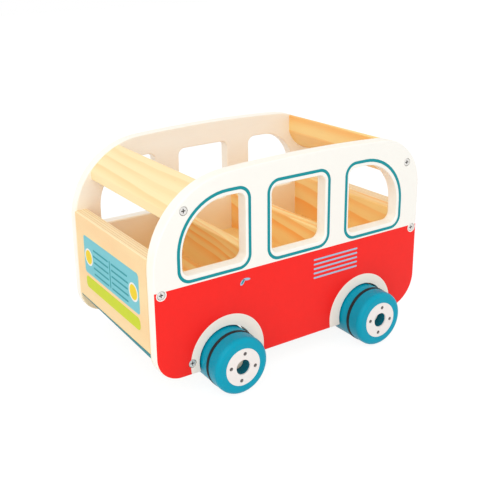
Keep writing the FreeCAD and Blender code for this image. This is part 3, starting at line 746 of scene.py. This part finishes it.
def add_oval(across, up, width, height, turn=0):
    """Add a filled oval, turned anticlockwise by some degrees."""
    middle = on_drawing(across, up)
    bpy.ops.mesh.select_all(action="DESELECT")
    bpy.ops.mesh.primitive_circle_add(vertices=OVAL_STEPS, radius=0.5, fill_type="NGON",
                                      location=middle)
    bpy.ops.transform.resize(value=(width * MM, height * MM, 1), center_override=middle)
    bpy.ops.transform.rotate(value=-math.radians(turn), orient_axis="Z", center_override=middle)


def hollow_out(width):
    """Turn all plates of the open mesh into frames of one width."""
    bpy.ops.mesh.select_mode(type="FACE")
    bpy.ops.mesh.select_all(action="SELECT")
    bpy.ops.mesh.inset(thickness=width * MM, depth=0, use_boundary=True)
    bpy.ops.mesh.delete(type="FACE")


def end_print(sheet, turn, lift, material):
    """Close a print: give it its thickness and lay it on its board."""
    bpy.ops.object.mode_set(mode="OBJECT")
    modifier = sheet.modifiers.new("Thickness", "SOLIDIFY")
    modifier.thickness = lift * MM
    modifier.offset = 1
    bpy.ops.object.modifier_apply(modifier=modifier.name)
    sheet.matrix_world = turn
    bpy.ops.object.transform_apply(location=True, rotation=True, scale=True)
    dress(sheet, material)
    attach(sheet, BODY)


def on_side():
    """Turn that lays a flat drawing on the right side: across is along the bus and up is up."""
    turn = Matrix(((0, 0, 1), (1, 0, 0), (0, 1, 0))).to_4x4()
    return Matrix.Translation((HALF_WIDTH * MM, 0, 0)) @ turn


def on_front():
    """Turn that lays a flat drawing on the front: across is towards +X and up is up."""
    turn = Matrix(((1, 0, 0), (0, 0, -1), (0, 1, 0))).to_4x4()
    return Matrix.Translation((0, FRONT_LOW.y, 0)) @ turn


def end_side_print(sheet, name, lift, material):
    """Lay a print on the right side, and a mirrored copy on the left side."""
    end_print(sheet, on_side(), lift, material)
    deselect()
    sheet.select_set(True)
    bpy.context.view_layer.objects.active = sheet
    bpy.ops.object.duplicate()
    copy = bpy.context.object
    copy.name = name + "_left"
    copy.data.name = copy.name
    bpy.ops.object.mode_set(mode="EDIT")
    bpy.ops.mesh.select_all(action="SELECT")
    bpy.ops.transform.resize(value=(-1, 1, 1), center_override=(0, 0, 0))
    bpy.ops.mesh.normals_make_consistent(inside=False)
    bpy.ops.object.mode_set(mode="OBJECT")


class BUS_OT_stage(bpy.types.Operator):
    """Make the floor, the light and the camera"""
    bl_idname = "bus.stage"
    bl_label = "Stage"

    def execute(self, context):
        context.scene.view_settings.view_transform = "Standard"
        self.floor()
        self.light(context)
        self.camera(context)
        return {"FINISHED"}

    def floor(self):
        deselect()
        bpy.ops.mesh.primitive_plane_add(size=FLOOR_SIZE)
        floor = bpy.context.object
        floor.name = "floor"
        recipe = new_recipe("pale_floor")
        matt = recipe.node("ShaderNodeBsdfDiffuse", None, {"Color": FLOOR_TINT})
        glow = recipe.node("ShaderNodeEmission", None, {"Color": WHITE, "Strength": FLOOR_GLOW})
        mixed = recipe.node("ShaderNodeMixShader", None,
                            {0: seen_straight(recipe) * FLOOR_GLOW_SHARE, 1: matt, 2: glow})
        recipe.output("ShaderNodeOutputMaterial", mixed)
        dress(floor, recipe.owner)

    def light(self, context):
        light = context.scene.bus_light
        world = bpy.data.worlds.new("studio")
        context.scene.world = world
        recipe = Recipe(world)
        soft = recipe.node("ShaderNodeBackground", None,
                           {"Color": SKY_TINT, "Strength": light.sky})
        white = recipe.node("ShaderNodeBackground", None, {"Color": WHITE, "Strength": 1.0})
        mixed = recipe.node("ShaderNodeMixShader", None,
                            {0: seen_straight(recipe), 1: soft, 2: white})
        recipe.output("ShaderNodeOutputWorld", mixed)
        for name, place, power in (("key", light.key_place, light.key),
                                   ("fill", light.fill_place, light.fill)):
            deselect()
            bpy.ops.object.light_add(type="AREA", location=place)
            lamp = bpy.context.object
            lamp.name = name
            lamp.data.shape = "DISK"
            lamp.data.size = light.lamp_size
            lamp.data.energy = power
            lamp.rotation_euler = (-Vector(place)).to_track_quat("-Z", "Y").to_euler()

    def camera(self, context):
        view = context.scene.bus_camera
        turn, rise, roll = view.azimuth, view.elevation, view.roll
        back = Vector((math.sin(turn) * math.cos(rise), -math.cos(turn) * math.cos(rise),
                       math.sin(rise)))
        right = Vector((math.cos(turn), math.sin(turn), 0))
        up = back.cross(right)
        side = right * math.cos(roll) + up * math.sin(roll)
        top = up * math.cos(roll) - right * math.sin(roll)
        place = right * view.aside + Vector((0, 0, view.above)) + back * view.distance
        deselect()
        bpy.ops.object.camera_add(location=place)
        camera = bpy.context.object
        camera.name = "camera"
        axes = Matrix((side, top, back)).transposed().to_4x4()
        camera.matrix_world = Matrix.Translation(place) @ axes
        lens = camera.data
        lens.lens = view.focal_pixels / view.picture_width * lens.sensor_width
        lens.shift_x = (view.picture_width / 2 - view.centre_across) / view.picture_width
        lens.shift_y = (view.centre_down - view.picture_height / 2) / view.picture_width
        lens.clip_start = CLIP_START
        lens.dof.use_dof = False
        context.scene.camera = camera


def seen_straight(recipe):
    """1 for what the camera sees, straight, in a gloss or through glass."""
    path = recipe.node("ShaderNodeLightPath").socket.node.outputs
    rays = ("Is Camera Ray", "Is Glossy Ray", "Is Transmission Ray")
    straight, gloss, glass = (Value(recipe, path[ray]) for ray in rays)
    return straight.most(gloss).most(glass)


class BUS_OT_boards(bpy.types.Operator):
    """Finish the pine and plywood boards"""
    bl_idname = "bus.boards"
    bl_label = "Boards"

    def execute(self, context):
        for node, log in LOGS.items():
            dress(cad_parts[node], pine("pine_" + node, *log))
        # The end panels' inner faces take the shaded pine: painted shade and bounce light
        honey = [linear(getattr(colours(), shade)) for shade in TONES["honey"]]
        for end, sign in ENDS.items():
            material = plywood("plywood_" + end, HALF_LENGTH * sign, PLYWOOD_SEED + sign, honey,
                               figure_strength=0.6)
            dress(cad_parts[end + "_panel"], material)
        return {"FINISHED"}


class BUS_OT_sides(bpy.types.Operator):
    """Finish the two printed side panels"""
    bl_idname = "bus.sides"
    bl_label = "Side panels"

    def execute(self, context):
        material = side_board("printed_side")
        for side in SIDES:
            dress(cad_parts["side_panel_" + side], material)
        return {"FINISHED"}


class BUS_OT_wheels(bpy.types.Operator):
    """Finish the wheels, rings, hub discs and axles"""
    bl_idname = "bus.wheels"
    bl_label = "Wheels"

    def execute(self, context):
        paint = wheel_paint("wheel_paint", colours().wheel_blue)
        black = rubber("ring_rubber")
        for end in ENDS:
            pale = hub_paint("hub_paint_" + end, end)
            dress(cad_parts[end + "_axle"], dowel("dowel_" + end, end))
            for side in SIDES:
                for piece, material in (("wheel", paint), ("grip_ring", black),
                                        ("hub_disc", pale)):
                    dress(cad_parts["%s_%s_%s" % (end, piece, side)], material)
        return {"FINISHED"}


class BUS_OT_screws(bpy.types.Operator):
    """Finish the screws"""
    bl_idname = "bus.screws"
    bl_label = "Screws"

    def execute(self, context):
        metal = zinc("zinc_plate")
        for group in ("roof_plank_screws", "end_panel_screws", "crossbar_screws"):
            dress(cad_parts[group], metal)
        return {"FINISHED"}


class BUS_OT_window_lines(bpy.types.Operator):
    """Print a line round each side window"""
    bl_idname = "bus.window_lines"
    bl_label = "Window lines"

    def execute(self, context):
        sizes = prints()
        along, up = (gap + sizes.line_width for gap in sizes.line_gap)
        small = sizes.window_corner
        windows = {
            "front": (sizes.front_window, (small, small, small, sizes.front_window_arch)),
            "middle": (sizes.middle_window, (small, small, small, small)),
            "rear": (sizes.rear_window, (small, small, sizes.rear_window_arch, small)),
        }
        teal = ink("teal_line", colours().line_teal)
        for window, ((front, rear, low, high), radii) in windows.items():
            name = "window_line_" + window
            sheet = begin_print(name + "_right")
            add_plate(sheet, front - along, rear + along, low - up, high + up,
                      [radius + along for radius in radii])
            hollow_out(sizes.line_width)
            end_side_print(sheet, name, sizes.print_height, teal)
        return {"FINISHED"}


class BUS_OT_side_prints(bpy.types.Operator):
    """Print the vent stripes and the handle mark on both sides"""
    bl_idname = "bus.side_prints"
    bl_label = "Side prints"

    def execute(self, context):
        sizes = prints()
        height = sizes.print_height
        pale = ink("vent_blue", colours().vent_blue)
        teal = ink("handle_teal", colours().line_teal)
        sheet = begin_print("vent_stripes_right")
        front, rear, top, step = sizes.vents
        for row in range(VENT_ROWS):
            add_line(sheet, front, rear, top - row * step, sizes.vent_width)
        end_side_print(sheet, "vent_stripes", height, pale)
        sheet = begin_print("handle_mark_right")
        add_oval(*sizes.handle, turn=HANDLE_TURN)
        add_oval(*sizes.handle_tail, turn=HANDLE_TAIL_TURN)
        end_side_print(sheet, "handle_mark", height, pale)
        sheet = begin_print("handle_centre_right")
        add_oval(*sizes.handle_centre, turn=HANDLE_TURN)
        end_side_print(sheet, "handle_centre", height * SECOND_PRINT, teal)
        return {"FINISHED"}


class BUS_OT_front_prints(bpy.types.Operator):
    """Print the grille, its lines, the headlights and the bumper strip on the front"""
    bl_idname = "bus.front_prints"
    bl_label = "Front prints"

    def execute(self, context):
        sizes, shades = prints(), colours()
        height, middle = sizes.print_height, sizes.front_aside
        for name, (half, low, high, corner), colour in (
                ("grille", sizes.grille, shades.grille_blue),
                ("bumper_strip", sizes.strip, shades.strip_lime)):
            sheet = begin_print(name)
            add_plate(sheet, middle - half, middle + half, low, high, (corner,) * 4)
            end_print(sheet, on_front(), height, ink(name + "_ink", colour))
        self.grille_lines(sizes, middle, ink("grille_line", shades.grille_line))
        white, yellow = ink("lamp_rim", shades.hub_white), ink("lamp_yellow", shades.lamp_yellow)
        for side, sign in SIDES.items():
            place = (middle + sizes.lamp[0] * sign, sizes.lamp[1])
            for name, oval, lift, paint in (
                    ("headlight_rim_", sizes.lamp_rim, SECOND_PRINT, white),
                    ("headlight_", sizes.lamp_lens, THIRD_PRINT, yellow)):
                sheet = begin_print(name + side)
                add_oval(*place, *oval)
                end_print(sheet, on_front(), height * lift, paint)
        return {"FINISHED"}

    def grille_lines(self, sizes, middle, paint):
        sheet = begin_print("grille_lines")
        width = sizes.grille_line_width
        inner, outer, top, step = sizes.grille_rows
        for row in range(GRILLE_ROWS):
            for sign in SIDES.values():
                ends = sorted((middle + inner * sign,
                               middle + (outer + row % 2 * GRILLE_STEP) * sign))
                add_line(sheet, *ends, top - row * step, width)
        add_bar(sheet, middle - width / 2, middle + width / 2, *sizes.grille_stem, width)
        end_print(sheet, on_front(), sizes.print_height * SECOND_PRINT, paint)


class BUS_OT_front_foot(bpy.types.Operator):
    """Make the thin teal strip under the front panel, which tapers towards the left"""
    bl_idname = "bus.front_foot"
    bl_label = "Front foot"

    def execute(self, context):
        half, right, left, setback = prints().foot
        top = FRONT_LOW.z / MM
        sheet = begin_print("front_foot_strip")
        add_plate(sheet, -half, half, top - left, top, ())
        select_at(sheet, half, top - left)
        bpy.ops.transform.translate(value=(0, (left - right) * MM, 0))
        depth = FRONT_HIGH.y - FRONT_LOW.y
        behind = Matrix.Translation((0, depth, 0)) @ on_front()
        teal = ink("foot_teal", colours().foot_teal)
        end_print(sheet, behind, depth / MM - setback, teal)
        return {"FINISHED"}


class BUS_PT_sidebar(bpy.types.Panel):
    """Lists the steps that finish the bus"""
    bl_idname = "BUS_PT_sidebar"
    bl_label = "Toy Bus"
    bl_space_type = "VIEW_3D"
    bl_region_type = "UI"
    bl_category = "Toy Bus"

    def draw(self, context):
        for step in STEPS:
            self.layout.operator(step.bl_idname)


GROUPS = {"bus_camera": BusCamera, "bus_light": BusLight, "bus_colours": BusColours,
          "bus_prints": BusPrints, "bus_wood": BusWood}
STEPS = (BUS_OT_stage, BUS_OT_boards, BUS_OT_sides, BUS_OT_wheels, BUS_OT_screws,
         BUS_OT_window_lines, BUS_OT_side_prints, BUS_OT_front_prints, BUS_OT_front_foot)
CLASSES = (*GROUPS.values(), *STEPS, BUS_PT_sidebar)


def register():
    for kind in CLASSES:
        bpy.utils.register_class(kind)
    for name, group in GROUPS.items():
        setattr(bpy.types.Scene, name, PointerProperty(type=group))


def unregister():
    for name in GROUPS:
        delattr(bpy.types.Scene, name)
    for kind in reversed(CLASSES):
        bpy.utils.unregister_class(kind)


def main():
    register()
    for step in STEPS:
        space, name = step.bl_idname.split(".")
        getattr(getattr(bpy.ops, space), name)()


if __name__ == "__main__":
    main()
